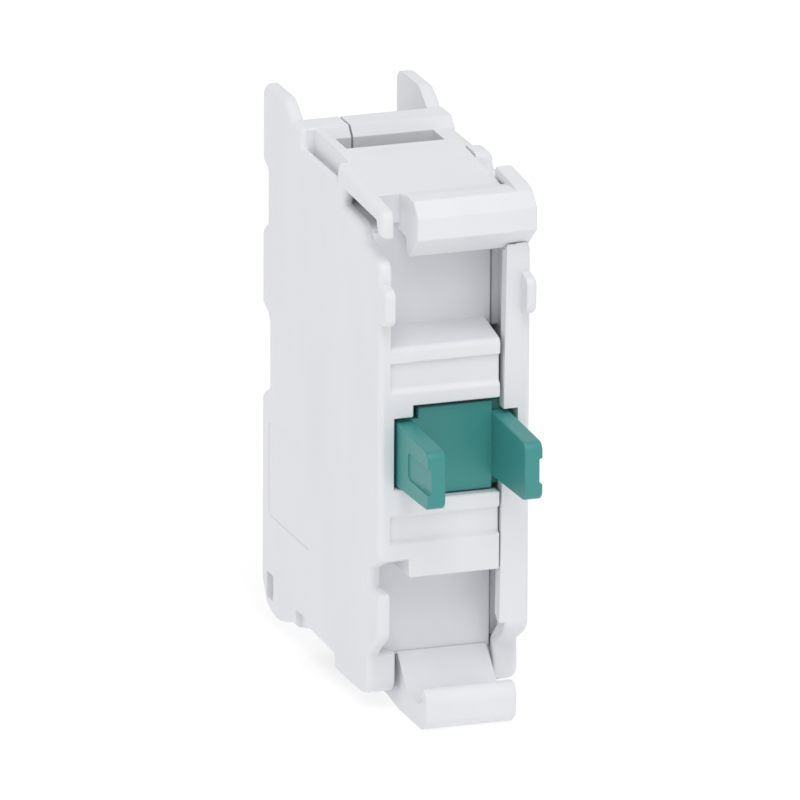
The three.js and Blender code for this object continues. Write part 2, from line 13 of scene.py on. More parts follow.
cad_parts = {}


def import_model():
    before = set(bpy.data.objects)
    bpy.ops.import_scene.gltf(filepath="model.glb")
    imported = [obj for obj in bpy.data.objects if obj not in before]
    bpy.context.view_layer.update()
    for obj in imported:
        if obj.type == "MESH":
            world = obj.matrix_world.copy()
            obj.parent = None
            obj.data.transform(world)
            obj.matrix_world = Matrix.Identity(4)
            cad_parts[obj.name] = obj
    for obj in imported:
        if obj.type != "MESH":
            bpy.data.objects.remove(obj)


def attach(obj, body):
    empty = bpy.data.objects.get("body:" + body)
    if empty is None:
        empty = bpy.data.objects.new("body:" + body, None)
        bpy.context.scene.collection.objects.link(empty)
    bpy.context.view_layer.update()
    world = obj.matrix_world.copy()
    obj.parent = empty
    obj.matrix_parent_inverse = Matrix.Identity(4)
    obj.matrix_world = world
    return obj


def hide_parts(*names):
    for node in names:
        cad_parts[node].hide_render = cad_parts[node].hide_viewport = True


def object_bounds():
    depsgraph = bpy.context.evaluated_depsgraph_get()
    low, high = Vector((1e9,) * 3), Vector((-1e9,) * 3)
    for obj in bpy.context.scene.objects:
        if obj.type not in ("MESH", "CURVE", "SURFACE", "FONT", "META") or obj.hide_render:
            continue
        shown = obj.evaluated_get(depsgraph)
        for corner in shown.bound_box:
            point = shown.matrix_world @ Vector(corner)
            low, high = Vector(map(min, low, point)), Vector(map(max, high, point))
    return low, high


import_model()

cad_low, cad_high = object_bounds()

# ---------------------------------------------------------------- driving dimensions, mm

MM = 0.001
LEFT_FACE = cad_low.x / MM
BACK_FACE = cad_high.y / MM
WIDTH = (cad_high.x - cad_low.x) / MM
REACH = (cad_high.y - cad_low.y) / MM
MIDDLE = WIDTH / 2

SKIN = 0.8
WALL = 0.9
INNER_LEFT = 0.7
SEAM = 0.12
COVER_INSIDE = 8.8
FRONT = 22.3
PANEL_FRONT = 19.4
PANEL_BACK = PANEL_FRONT - WALL
PANEL_RIGHT = 8.2
RIB_END = 7.85
FLANGE_LEFT = 7.99
FLANGE_TOP = 29.95
FLANGE_LEAN = 0.0154        # sideways lean of the flange's left edge, per mm of height
FLANGE_PIVOT = 14.8         # height at which the leaning edge is at FLANGE_LEFT
NOSE_WIDTH = 0.68
BAND_DEPTH = 0.25
HOOK_END_BACK = 20.15
HOOK_END_LEFT = 8.76
RAIL_TOP = 32.85
RAIL_LEFT = 8.66
PLUNGER_AXIS = 17.1
TERMINAL_RISE = 10.25

EDGE = 0.13                 # rounding of the moulded edges
FINE_EDGE = 0.05            # rounding of small or sharp details
OUTER_EDGE = 0.42           # rounding round the two outer side faces
EDGE_STEPS = 3
CORNER_STEPS = 7
FACE_STEPS = 5
ROUND_SIDES = 48
SHARP_ANGLE = math.radians(40)
BEVEL_ANGLE = math.radians(28)
RIM_TOLERANCE = 1e-5        # how near a vertex is to a face's plane to count as on its rim
WELD_DISTANCE = 2e-7        # metres
SHADING_WEIGHT = 80
NOISE_LOW = 0.3             # the range that most of a noise pattern stays within
NOISE_HIGH = 0.7

# ---------------------------------------------------------------- mesh helpers


def rounded(points):
    """The outline's corner points, with each rounded corner as a run of points on its arc."""
    run = []
    for index, corner in enumerate(points):
        at = Vector(corner[:2])
        reach = corner[2] if len(corner) > 2 else 0
        if reach == 0:
            run.append(at)
            continue
        before = (Vector(points[index - 1][:2]) - at).normalized()
        after = (Vector(points[(index + 1) % len(points)][:2]) - at).normalized()
        half = before.angle(after) / 2
        centre = at + (before + after).normalized() * reach / math.cos(half)
        start = at + before * reach - centre
        end = at + after * reach - centre
        sweep = math.pi - 2 * half
        for step in range(CORNER_STEPS + 1):
            t = step / CORNER_STEPS
            arc = start * math.sin((1 - t) * sweep) + end * math.sin(t * sweep)
            run.append(centre + arc / math.sin(sweep))
    return run


def finish_bmesh(bm, name):
    mesh = bpy.data.meshes.new(name)
    bmesh.ops.recalc_face_normals(bm, faces=bm.faces)
    bm.to_mesh(mesh)
    bm.free()
    obj = bpy.data.objects.new(name, mesh)
    bpy.context.scene.collection.objects.link(obj)
    return obj


def round_edges(bm, edge, steps=EDGE_STEPS):
    sharp = [e for e in bm.edges if len(e.link_faces) == 2 and e.calc_face_angle() > BEVEL_ANGLE]
    bmesh.ops.bevel(
        bm, geom=sharp, offset=edge, offset_type="OFFSET", segments=steps, profile=0.5,
        affect="EDGES", clamp_overlap=True, loop_slide=True,
    )


def round_face(bm, across, edge):
    """Rounds the whole rim of one outer side face."""
    rim = [e for e in bm.edges if all(abs(v.co.x - across) < RIM_TOLERANCE for v in e.verts)]
    bmesh.ops.bevel(
        bm, geom=rim, offset=edge, offset_type="OFFSET", segments=FACE_STEPS, profile=0.5,
        affect="EDGES", clamp_overlap=False, loop_slide=True,
    )


def slab(points, left, right, edge=EDGE, face=None, face_edge=OUTER_EDGE):
    """An outline drawn out across the block, with rounded edges and perhaps a rounder face."""
    bm = bmesh.new()
    loop = [bm.verts.new((left, -p.x, p.y)) for p in rounded(points)]
    first = bm.faces.new(loop)
    grown = bmesh.ops.extrude_face_region(bm, geom=[first])
    moved = [v for v in grown["geom"] if isinstance(v, bmesh.types.BMVert)]
    bmesh.ops.translate(bm, verts=moved, vec=(right - left, 0, 0))
    bmesh.ops.recalc_face_normals(bm, faces=bm.faces)
    if face is not None:
        round_face(bm, face, face_edge)
    if edge > 0:
        round_edges(bm, edge)
    return finish_bmesh(bm, "slab")


def block(across, forward, up, edge=EDGE):
    back, front = forward
    bottom, top = up
    return slab([[back, bottom], [front, bottom], [front, top], [back, top]], *across, edge)


def lathe(profile, place, sides=ROUND_SIDES):
    """A turned solid about the forward axis, from [radius, forward] pairs.

    The profile runs from axis to axis, or ends where it began to make a ring.
    """
    across, up = place
    bm = bmesh.new()
    rings = []
    for radius, forward in profile:
        if rings and [radius, forward] == profile[0]:
            rings.append(rings[0])
            continue
        if radius == 0:
            rings.append([bm.verts.new((across, -forward, up))])
            continue
        rings.append([
            bm.verts.new((
                across + radius * math.cos(2 * math.pi * side / sides), -forward,
                up + radius * math.sin(2 * math.pi * side / sides),
            ))
            for side in range(sides)
        ])
    for low, high in zip(rings, rings[1:]):
        for side in range(sides):
            after = (side + 1) % sides
            if len(low) == 1:
                bm.faces.new((low[0], high[side], high[after]))
            elif len(high) == 1:
                bm.faces.new((low[side], low[after], high[0]))
            else:
                bm.faces.new((low[side], low[after], high[after], high[side]))
    return finish_bmesh(bm, "turned")


def rod(radius, forward, place, chamfer=0.0):
    back, front = forward
    return lathe([
        [0, back], [radius - chamfer, back], [radius, back + chamfer],
        [radius, front - chamfer], [radius - chamfer, front], [0, front],
    ] if chamfer else [[0, back], [radius, back], [radius, front], [0, front]], place)


def cross_rod(radius, across, place):
    """A round rod across the block, at a [forward, up] place."""
    left, right = across
    bm = bmesh.new()
    turn = Matrix.Rotation(math.pi / 2, 4, "Y")
    centre = Matrix.Translation(((left + right) / 2, -place[0], place[1]))
    bmesh.ops.create_cone(
        bm, cap_ends=True, segments=ROUND_SIDES // 2, radius1=radius, radius2=radius,
        depth=right - left, matrix=centre @ turn,
    )
    return finish_bmesh(bm, "cross_rod")


def combine(base, others, operation):
    """Joins or cuts the first solid with the others, which are used up."""
    for other in others:
        step = base.modifiers.new("step", "BOOLEAN")
        step.operation = operation
        step.solver = "MANIFOLD"
        step.object = other
    bpy.context.view_layer.update()
    evaluated = base.evaluated_get(bpy.context.evaluated_depsgraph_get())
    result = bpy.data.meshes.new_from_object(evaluated)
    base.modifiers.clear()
    base.data = result
    for other in others:
        bpy.data.objects.remove(other, do_unlink=True)
    return base


def join(base, *others):
    return combine(base, others, "UNION")


def cut(base, *tools):
    return combine(base, tools, "DIFFERENCE")


def piece(obj, name, body, material, slot, *nodes):
    """Finishes a solid as a visible piece in the frame's metres, riding on its CAD body."""
    mesh = obj.data
    mesh.transform(Matrix.Translation((LEFT_FACE, BACK_FACE, 0)))
    mesh.transform(Matrix.Scale(MM, 4))
    bm = bmesh.new()
    bm.from_mesh(mesh)
    bmesh.ops.remove_doubles(bm, verts=bm.verts, dist=WELD_DISTANCE)
    bmesh.ops.dissolve_degenerate(bm, edges=bm.edges, dist=WELD_DISTANCE)
    for face in bm.faces:
        face.smooth = True
    for e in bm.edges:
        e.smooth = len(e.link_faces) == 2 and e.calc_face_angle() < SHARP_ANGLE
    bm.to_mesh(mesh)
    bm.free()
    obj.name = name
    mesh.name = name
    mesh.materials.clear()
    mesh.materials.append(material)
    weighted = obj.modifiers.new("weighted_normals", "WEIGHTED_NORMAL")
    weighted.keep_sharp = True
    weighted.weight = SHADING_WEIGHT
    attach(obj, body)
    if nodes:
        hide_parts(*nodes)
    return obj


# ---------------------------------------------------------------- materials


def new_material(name, color, roughness, metallic=0.0):
    material = bpy.data.materials.new(name)
    material.use_nodes = True
    shader = material.node_tree.nodes["Principled BSDF"]
    shader.inputs["Base Color"].default_value = (*color, 1)
    shader.inputs["Roughness"].default_value = roughness
    shader.inputs["Metallic"].default_value = metallic
    return material, shader


def add_noise(material, scale, detail=3.0, stretch=(1, 1, 1)):
    """A noise pattern in object space, scale in repeats per metre."""
    nodes, links = material.node_tree.nodes, material.node_tree.links
    place = nodes.new("ShaderNodeTexCoord")
    mapping = nodes.new("ShaderNodeMapping")
    mapping.inputs["Scale"].default_value = stretch
    noise = nodes.new("ShaderNodeTexNoise")
    noise.inputs["Scale"].default_value = scale
    noise.inputs["Detail"].default_value = detail
    links.new(place.outputs["Object"], mapping.inputs["Vector"])
    links.new(mapping.outputs["Vector"], noise.inputs["Vector"])
    return noise.outputs["Fac"]


def map_range(material, value, low, high):
    nodes, links = material.node_tree.nodes, material.node_tree.links
    ranged = nodes.new("ShaderNodeMapRange")
    ranged.inputs["From Min"].default_value = NOISE_LOW
    ranged.inputs["From Max"].default_value = NOISE_HIGH
    ranged.inputs["To Min"].default_value = low
    ranged.inputs["To Max"].default_value = high
    links.new(value, ranged.inputs["Value"])
    return ranged.outputs["Result"]


def vary_color(material, shader, value, first, second):
    nodes, links = material.node_tree.nodes, material.node_tree.links
    ramp = nodes.new("ShaderNodeValToRGB")
    ramp.color_ramp.elements[0].position = NOISE_LOW
    ramp.color_ramp.elements[1].position = NOISE_HIGH
    ramp.color_ramp.elements[0].color = (*first, 1)
    ramp.color_ramp.elements[1].color = (*second, 1)
    links.new(value, ramp.inputs["Fac"])
    links.new(ramp.outputs["Color"], shader.inputs["Base Color"])


def add_bump(material, shader, value, distance, strength):
    nodes, links = material.node_tree.nodes, material.node_tree.links
    bump = nodes.new("ShaderNodeBump")
    bump.inputs["Distance"].default_value = distance
    bump.inputs["Strength"].default_value = strength
    links.new(value, bump.inputs["Height"])
    links.new(bump.outputs["Normal"], shader.inputs["Normal"])


def moulded_plastic(name, color, roughness, grain):
    """Injection-moulded plastic: a fine spark-eroded grain, and very slight colour streaks."""
    material, shader = new_material(name, color, roughness)
    streaks = add_noise(material, 160, 4.0, (1, 1, 0.4))
    lighter = tuple(min(1, c * 1.02) for c in color)
    darker = tuple(c * 0.975 for c in color)
    vary_color(material, shader, streaks, darker, lighter)
    fine = add_noise(material, 9000, 2.0)
    shader.inputs["Specular IOR Level"].default_value = 0.45
    material.node_tree.links.new(
        map_range(material, fine, roughness - 0.05, roughness + 0.05), shader.inputs["Roughness"]
    )
    add_bump(material, shader, fine, grain * MM, 0.35)
    return material


def worked_metal(name, color, roughness, stretch):
    """Metal with fine drawn or rolled lines."""
    material, shader = new_material(name, color, roughness, 1.0)
    lines = add_noise(material, 4000, 4.0, stretch)
    vary_color(material, shader, lines, tuple(c * 0.85 for c in color), color)
    material.node_tree.links.new(
        map_range(material, lines, roughness - 0.07, roughness + 0.1), shader.inputs["Roughness"]
    )
    add_bump(material, shader, lines, 0.01 * MM, 0.3)
    return material


HOUSING = moulded_plastic("housing_grey", (0.755, 0.762, 0.793), 0.5, 0.012)
GREEN = moulded_plastic("plunger_green", (0.046, 0.27, 0.255), 0.42, 0.012)
BRASS = worked_metal("contact_brass", (0.72, 0.50, 0.20), 0.34, (0.15, 1, 1))
SILVER = worked_metal("contact_silver", (0.86, 0.86, 0.84), 0.28, (1, 1, 1))
ZINC = worked_metal("zinc_steel", (0.60, 0.61, 0.63), 0.36, (1, 0.3, 1))
SPRING = worked_metal("spring_steel", (0.42, 0.43, 0.45), 0.32, (1, 1, 0.3))

# ---------------------------------------------------------------- housing outlines

BACK_EDGE = [
    [0, 34.35, 0.3], [0, 29.65, 0.38], [0.95, 29.35, 0.2], [0.95, 25.95, 0.2], [0, 25.35, 0.3],
    [0, 20.45, 0.3], [1.0, 20.05], [1.35, 19.7, 0.2], [1.35, 15.45, 0.2], [0, 14.7, 0.3],
    [0, 2.75, 0.4],
]
BOTTOM_EDGE = [
    [0.9, 1.15, 0.3], [1.7, 0.85, 0.3], [3.0, 0.65, 0.3], [4.3, 0.95, 0.3], [5.5, 1.35, 0.3],
    [6.7, 1.35, 0.3], [8.9, 1.95, 0.3], [13.75, 1.8], [13.85, 0.9], [18.9, 0.9, 0.6],
    [20.3, 1.5, 0.6],
]
LOWER_FRONT_EDGE = [
    [20.3, 3.85, 0.2], [20.8, 4.35], [FRONT, 5.45, 0.4], [FRONT, 8.25], [20.4, 8.25],
    [20.4, 9.45], [FRONT, 10.4],
]
NOSE = [
    [FRONT - WALL, 25.45], [FRONT, 25.45], [23.4, 25.75, 0.4], [23.5, 27.9, 0.45],
    [FRONT, 28.15], [FRONT - WALL, 28.15],
]
EAR = [[7.45, 33.8], [5.7, 33.8, 0.3], [4.15, 34.85, 0.5], [0.6, 34.85, 0.35]]
STRIP = [
    [15.0, 31.15], [15.4, 32.1], [21.4, 31.87], [21.7, 31.07], [22.65, 31.07],
    [22.65, 32.75, 0.5], [20.0, 33.05], [14.15, 33.56],
]
LEFT_SIDE = [
    *BACK_EDGE, *BOTTOM_EDGE, *LOWER_FRONT_EDGE,
    [FRONT, 29.4, 0.6], [19.1, 29.95, 0.4], [18.45, 30.95, 0.5],
    *STRIP, [14.15, 32.4], [7.45, 32.5], *EAR,
]
BOSS = [[15.4, RAIL_TOP, 0.1], [15.2, 33.65, 0.45], [13.2, 33.65, 0.45], [12.9, 33.2, 0.15]]
RIGHT_SIDE = [
    *BACK_EDGE, *BOTTOM_EDGE,
    [20.3, 3.85, 0.2], [21.9, 4.85, 0.3], [FRONT, 5.45, 0.4],
    [FRONT, FLANGE_TOP], [21.7, 29.4], [21.2, 29.4], [20.95, 30.45],
    [HOOK_END_BACK - SEAM, 30.45],
    [HOOK_END_BACK - SEAM, RAIL_TOP], *BOSS, [7.3, 33.2, 0.15], [7.2, 33.8], *EAR[1:],
]
RAIL = [
    [11.8, 31.5], [HOOK_END_BACK - SEAM, 31.5], [HOOK_END_BACK - SEAM, RAIL_TOP],
    *BOSS, [11.8, 33.2],
]
BRIDGE = [
    [5.6, 31.0], [5.6, 33.85, 0.2], [7.6, 33.85], [8.2, 33.2], [8.2, 31.0],
]
PLATE = [[12.05, 33.75], [19.9, 33.06], [19.9, 31.2], [18.6, 31.2], [12.05, 32.85]]
HOOK = [
    [18.7, 30.7, 0.25], [18.7, 33.17], [20.0, 33.05, 0.5], [21.1, 33.3, 0.4],
    [22.5, 33.3, 0.12], [23.35, 32.4, 0.08], [23.35, 31.0, 0.08], [21.6, 29.5, 0.1],
    [21.3, 29.55, 0.08], [21.1, 30.6, 0.3],
]
HOOK_END = [
    [18.4, RAIL_TOP + SEAM], [18.4, 33.8, 0.3], [21.7, 33.55, 0.4], [22.5, 33.3, 0.12],
    [22.8, RAIL_TOP + SEAM],
]


def upper_rib(lower_edge):
    return [
        [PANEL_BACK, 24.55], [PANEL_FRONT, 24.55], [FRONT, 23.95, 0.35], [FRONT, 22.95],
        [FRONT - BAND_DEPTH, 22.95], [FRONT - BAND_DEPTH, 21.3], [FRONT, 21.05],
        [FRONT, lower_edge], [FRONT - WALL, lower_edge], [FRONT - WALL, 23.2], [PANEL_BACK, 23.65],
    ]


def lower_rib(upper_edge):
    return [
        [FRONT - WALL, upper_edge], [FRONT, upper_edge], [FRONT, 13.2],
        [FRONT - BAND_DEPTH, 13.2], [FRONT - BAND_DEPTH, 11.65], [FRONT, 11.5],
        [FRONT, 9.2], [PANEL_BACK, 9.2], [PANEL_BACK, 10.1], [FRONT - WALL, 10.1],
    ]


# ---------------------------------------------------------------- housing

PLUNGER_SLOT = [14.75, 19.45]
POSTS = [[17.2, 24.2], [17.2, 3.6], [4.0, 21.6], [4.0, 12.6]]
TERMINAL_HEIGHTS = {"upper": PLUNGER_AXIS + TERMINAL_RISE, "lower": PLUNGER_AXIS - TERMINAL_RISE}


def slot_clearance():
    """Clear space beside the slot under the plate's left edge."""
    return block([0, 1.38], [15.0, 21.0], [30.5, 32.2], 0)


def back_wall():
    outer = [point[:2] for point in BACK_EDGE[1:]]
    inner = [[forward + WALL, up] for forward, up in reversed(outer)]
    return [
        slab([[0, 31.0], *outer, *inner, [WALL, 31.0]], SKIN / 2, COVER_INSIDE - SEAM, FINE_EDGE),
        block([SKIN / 2, COVER_INSIDE - SEAM], [WALL / 2, 6.5], [31.0, 31.9]),
    ]


def front_wall():
    left = SKIN / 2
    corner = [[FRONT, 10.4], [PANEL_FRONT, 9.3], [PANEL_BACK, 9.2], [PANEL_BACK, 10.4],
              [FRONT - WALL, 11.3]]
    return [
        cut(block([INNER_LEFT, PANEL_RIGHT], [PANEL_BACK, PANEL_FRONT], [24.0, 31.5]),
            slot_clearance()),
        slab([[14.2, 30.4], [19.0, 30.2], [19.0, 30.6], [14.2, 31.1]], INNER_LEFT, 2.1, FINE_EDGE),
        block([left, PANEL_RIGHT], [PANEL_BACK, PANEL_FRONT], [3.4, 9.5], 0.02),
        slab(upper_rib(20.2), left, RIB_END, 0.16),
        slab(upper_rib(19.45), left, 2.25, 0.16),
        slab(lower_rib(14.2), 2.0, RIB_END, 0.16),
        slab([*lower_rib(14.95)[:6], *corner], left, 2.4, 0.16),
        block([left, 1.03], [FRONT - WALL, FRONT], [14.4, 20.0]),
    ]


def inner_walls():
    partitions = [
        block([SKIN / 2, 8.6], [WALL / 2, 11.6], [height - WALL / 2, height + WALL / 2])
        for height in (PLUNGER_AXIS + 5.55, PLUNGER_AXIS - 5.55)
    ]
    posts = [cross_rod(1.0, [SKIN / 2, 8.6], place) for place in POSTS]
    spring_peg = rod(1.0, [1.6, 3.2], [MIDDLE, PLUNGER_AXIS], 0.2)
    return [*partitions, *posts, spring_peg]


def bottom_walls():
    return [
        slab([[0.9, 1.2], [1.7, 0.85], [3.0, 0.65], [4.3, 0.95], [5.5, 1.35], [6.7, 1.4],
              [8.4, 1.85], [8.4, 2.7], [5.4, 2.3], [3.0, 1.55], [1.2, 1.75]], SKIN / 2, 8.7),
        block([SKIN / 2, 8.7], [12.2, 14.3], [1.95, 2.9]),
        slab([[14.5, 0.9], [18.9, 0.9, 0.6], [20.3, 1.5, 0.6], [20.3, 3.85, 0.3],
              [PANEL_BACK, 3.85], [PANEL_BACK, 2.1], [14.5, 2.1]], SKIN / 2, 1.82),
    ]


def hook_bar():
    bar = slab(HOOK, 2.1, WIDTH, 0.12)
    clearance = block([RAIL_LEFT - SEAM, WIDTH + 1], [PANEL_BACK - 1, HOOK_END_BACK], [30, 35], 0)
    return join(cut(bar, clearance), slab(HOOK_END, HOOK_END_LEFT, WIDTH, 0.12))


def rear_openings():
    """Screwdriver holes with a chamfered mouth, and the slots the plunger's rails show in."""
    driver_holes = [
        lathe([[0, -1], [3.15, -1], [3.15, 0.02], [2.75, 0.4], [2.75, 3], [0, 3]],
              [MIDDLE, height])
        for height in TERMINAL_HEIGHTS.values()
    ]
    slots = [
        block(across, [-1, 3], PLUNGER_SLOT, 0) for across in ([0.98, 2.5], [7.4, 8.75])
    ]
    return [*driver_holes, *slots]


def side_pockets():
    """Shallow pockets in the left face: a plain framed field and two small mould pockets."""
    return [
        slab([[1.4, 7.15, 0.3], [9.2, 7.15, 0.3], [9.2, 13.2, 0.3], [1.4, 13.2, 0.3]],
             -1, 0.05, 0),
        slab([[1.15, 1.75, 0.15], [2.4, 1.75, 0.15], [2.4, 3.4, 0.15], [1.15, 3.4, 0.15]],
             -1, 0.5, 0),
        slab([[6.75, 0], [8.6, 0], [8.6, 2.6, 0.2], [6.75, 2.6, 0.2]], -1, 0.4, 0),
    ]


def lean(flange):
    """Leans the flange's left edge outward towards its top."""
    for vertex in flange.data.vertices:
        if vertex.co.x < FLANGE_LEFT + 0.5:
            vertex.co.x += FLANGE_LEAN * (vertex.co.z - FLANGE_PIVOT)
    return flange


def top_groove():
    """Groove between the left wall's edge and the wire entry's inset side."""
    return slab([[7.7, 32.1], [14.0, 32.05], [14.0, 34], [7.7, 34]], 0.36, SKIN, 0)


def housing_base():
    body = join(
        slab(LEFT_SIDE, 0, SKIN, EDGE, 0),
        slab(NOSE, 0, NOSE_WIDTH, 0.1, 0, 0.3),
        *back_wall(), *front_wall(), *inner_walls(), *bottom_walls(),
        slab(BRIDGE, SKIN / 2, 3.03, FINE_EDGE),
        slab([[7.45, 29.6], [7.45, 33.8], [8.2, 33.8], [12.05, 33.75], [14.2, 33.56],
              [14.2, 29.6]], SKIN, 1.38, FINE_EDGE),
        cut(slab(PLATE, INNER_LEFT, 8.6, FINE_EDGE), slot_clearance()),
        hook_bar(),
    )
    bores = [cross_rod(0.65, [6.0, WIDTH], place) for place in POSTS]
    return cut(body, *rear_openings(), *bores, *side_pockets(), top_groove())


def housing_cover():
    right = WIDTH - SKIN / 2
    body = join(
        slab(RIGHT_SIDE, COVER_INSIDE, WIDTH, EDGE, WIDTH),
        slab(NOSE, WIDTH - NOSE_WIDTH, WIDTH, 0.1, WIDTH, 0.3),
        slab(RAIL, RAIL_LEFT, right, FINE_EDGE),
        slab(BRIDGE, 3.15, WIDTH - 0.05, FINE_EDGE),
        block([8.33, right], [7.3, 11.93], [31.0, 33.2], FINE_EDGE),
        lean(slab([
            [FRONT - WALL, 6.1], [FRONT, 5.45, 0.4], [FRONT, FLANGE_TOP, 0.1], [21.7, 29.4],
            [FRONT - WALL, 29.4],
        ], FLANGE_LEFT, right, 0.2)),
        slab([[PANEL_FRONT + SEAM, 1.2], [20.3, 1.5, 0.5], [20.3, 3.85, 0.2], [21.9, 4.85, 0.3],
              [FRONT, 5.45, 0.3], [FRONT, 6.0], [21.6, 6.0, 0.3], [PANEL_FRONT + SEAM, 4.05]],
             8.2, right, 0.2),
        *[block([PANEL_RIGHT + 0.16, right], [18.3, 19.0], height)
          for height in ([23.8, 30.4], [3.9, 9.9])],
        *[cross_rod(0.55, [6.12, 9.0], place) for place in POSTS],
    )
    notch = block([FLANGE_LEFT - 1, 8.98], [PANEL_FRONT, FRONT + 1], PLUNGER_SLOT, 0)
    pocket = block([2.15, COVER_INSIDE], [0, 6.62], [30, 32.02], 0)
    return cut(body, notch, pocket)


# ---------------------------------------------------------------- latch and plunger

LATCH = [
    [14.9, 0.3], [17.7, 0.3, 0.5], [19.8, 0, 0.5], [24.3, 0, 0.4], [25.0, 0.6, 0.3],
    [25.1, 2.2, 0.45], [24.5, 2.75, 0.3], [23.9, 2.6, 0.25], [23.3, 1.4, 0.4],
    [21.5, 1.6, 0.8], [19.6, 3.55], [19.46, 3.6], [19.46, 3.37], [18.75, 3.37],
    [18.6, 1.0, 0.3], [14.9, 1.0],
]


def snap_latch():
    tongue = slab(LATCH, 2.2, 8.05, 0.03, 8.05, 0.15)
    relief = slab([[23.2, 1.3, 0.2], [24.4, 1.9], [24.4, 3.2], [22.6, 3.2]], 1.5, 2.45, 0)
    return cut(tongue, relief)


ARM_INNER = 2.55
ARM_OUTER = 3.7
ARM_ROOT = 21.8
CHANNEL_START = 24.3
CHANNEL_DEPTH = 0.26
ARMS = [[MIDDLE - ARM_OUTER, MIDDLE - ARM_INNER], [MIDDLE + ARM_INNER, MIDDLE + ARM_OUTER]]


def plunger():
    axis = PLUNGER_AXIS
    parts = []
    for across, outside in zip(ARMS, (ARMS[0][0], ARMS[1][1])):
        arm = slab([
            [20.9, axis - 2.05], [REACH, axis - 1.85, 0.6], [REACH, axis + 1.85, 0.6],
            [20.9, axis + 2.1],
        ], *across, 0.12)
        channel = slab([
            [CHANNEL_START, axis - 0.85, 0.3], [REACH + 1, axis - 0.85],
            [REACH + 1, axis + 0.85], [CHANNEL_START, axis + 0.85, 0.3],
        ], outside - CHANNEL_DEPTH, outside + CHANNEL_DEPTH, 0.1)
        for vertex in channel.data.vertices:
            share = (-vertex.co.y - CHANNEL_START) / (REACH - CHANNEL_START)
            vertex.co.x = outside + (vertex.co.x - outside) * (0.3 + 0.7 * min(1, share))
        parts.append(cut(arm, channel))
        parts.append(block(across, [5.8, 21.6], [axis - 2.0, axis + 2.0]))
        parts.append(block(across, [20.2, 21.25], [axis - 2.7, axis + 2.7]))
    centre_left, centre_right = MIDDLE - 2.2, MIDDLE + 2.6
    parts += [
        block([centre_left, centre_right], [20.9, ARM_ROOT], [14.3, 19.9], 0.1),
        block([ARMS[0][0], ARMS[1][1]], [20.9, ARM_ROOT], [15.05, 19.2], 0.1),
        block([ARMS[0][0], ARMS[1][1]], [15.9, 16.9], [axis - 1.9, axis + 1.9]),
        block([MIDDLE - 1.5, MIDDLE + 1.5], [9.5, 16.9], [axis - 1.5, axis + 1.5]),
        rod(1.1, [7.5, 10.5], [MIDDLE, axis], 0.25),
        rod(1.1, [19.9, 21.3], [MIDDLE, axis], 0.25),
    ]
    return join(parts[0], *parts[1:])


piece(housing_base(), "base_shell", "housing", HOUSING, "housing_grey", "housing_base")
piece(housing_cover(), "cover_shell", "housing", HOUSING, "housing_grey", "housing_cover")
piece(snap_latch(), "latch_tongue", "latch", HOUSING, "housing_grey", "snap_latch")
piece(plunger(), "green_plunger", "plunger", GREEN, "plunger_green", "plunger")

# ---------------------------------------------------------------- contacts, terminals, springs

THREAD_PITCH = 0.6
WIRE_SIDES = 12
TURN_STEPS = 32
END_CLOSING = 0.045         # how much the springs' end turns are closed up


def threaded_rod(major, minor, forward, place):
    """A rod with a screw thread raised on it, its ends running out to the core."""
    back, front = forward
    across, up = place
    rows = int((front - back) / THREAD_PITCH * 8)
    bm = bmesh.new()
    rings = []
    for row in range(rows + 1):
        at = back + (front - back) * row / rows
        fade = min(1, (at - back) / 0.4, (front - at) / 0.4)
        ring = []
        for side in range(TURN_STEPS):
            turn = side / TURN_STEPS
            phase = (at / THREAD_PITCH + turn) % 1
            height = min(1, max(0, 2.2 * (1 - abs(2 * phase - 1)) - 0.5))
            radius = minor + (major - minor) * height * max(0, fade)
            angle = 2 * math.pi * turn
            ring.append(bm.verts.new((
                across + radius * math.cos(angle), -at, up + radius * math.sin(angle),
            )))
        rings.append(ring)
    for low, high in zip(rings, rings[1:]):
        for side in range(TURN_STEPS):
            after = (side + 1) % TURN_STEPS
            bm.faces.new((low[side], low[after], high[after], high[side]))
    bm.faces.new(rings[0])
    bm.faces.new(reversed(rings[-1]))
    return finish_bmesh(bm, "thread")


def terminal_screw(place):
    """Pan head with a combined slot and cross, and a threaded shank."""
    across, up = place
    head = lathe([
        [0, 4.8], [1.9, 4.82], [2.35, 4.95], [2.62, 5.25], [2.7, 5.6], [2.7, 6.45],
        [2.6, 6.64], [2.4, 6.7], [0, 6.7],
    ], place)
    slot = block([across - 2.9, across + 2.9], [4.0, 5.75], [up - 0.36, up + 0.36], 0)
    cross = block([across - 0.36, across + 0.36], [4.0, 5.75], [up - 1.45, up + 1.45], 0)
    point = lathe([[0, 4.0], [0.95, 4.0], [0.85, 5.3], [0, 6.1]], place, 16)
    neck = rod(1.45, [6.5, 8.7], place)
    shank = threaded_rod(1.7, 1.42, [8.5, 14.4], place)
    return join(cut(head, slot, cross, point), neck, shank)


def lock_washer(place):
    across, up = place
    ring = lathe([
        [1.85, 6.8], [1.91, 6.74], [2.54, 6.74], [2.6, 6.8], [2.6, 7.38], [2.54, 7.44],
        [1.91, 7.44], [1.85, 7.38], [1.85, 6.8],
    ], place)
    split = slab([[6, up - 0.1], [8.2, up + 0.35], [8.2, up + 0.6], [6, up + 0.15]],
                 across + 1, across + 3, 0)
    return cut(ring, split)


def clamp_plate(place):
    across, up = place
    plate = block([across - 3.0, across + 3.0], [7.48, 8.5], [up - 2.8, up + 2.8], 0.15)
    bore = rod(1.85, [7, 9], place)
    grooves = [
        slab([[8.3, up + height], [8.6, up + height - 0.16], [8.6, up + height + 0.16]],
             across - 4, across + 4, 0)
        for height in (-2.4, -2.05, 2.05, 2.4)
    ]
    return cut(plate, bore, *grooves)


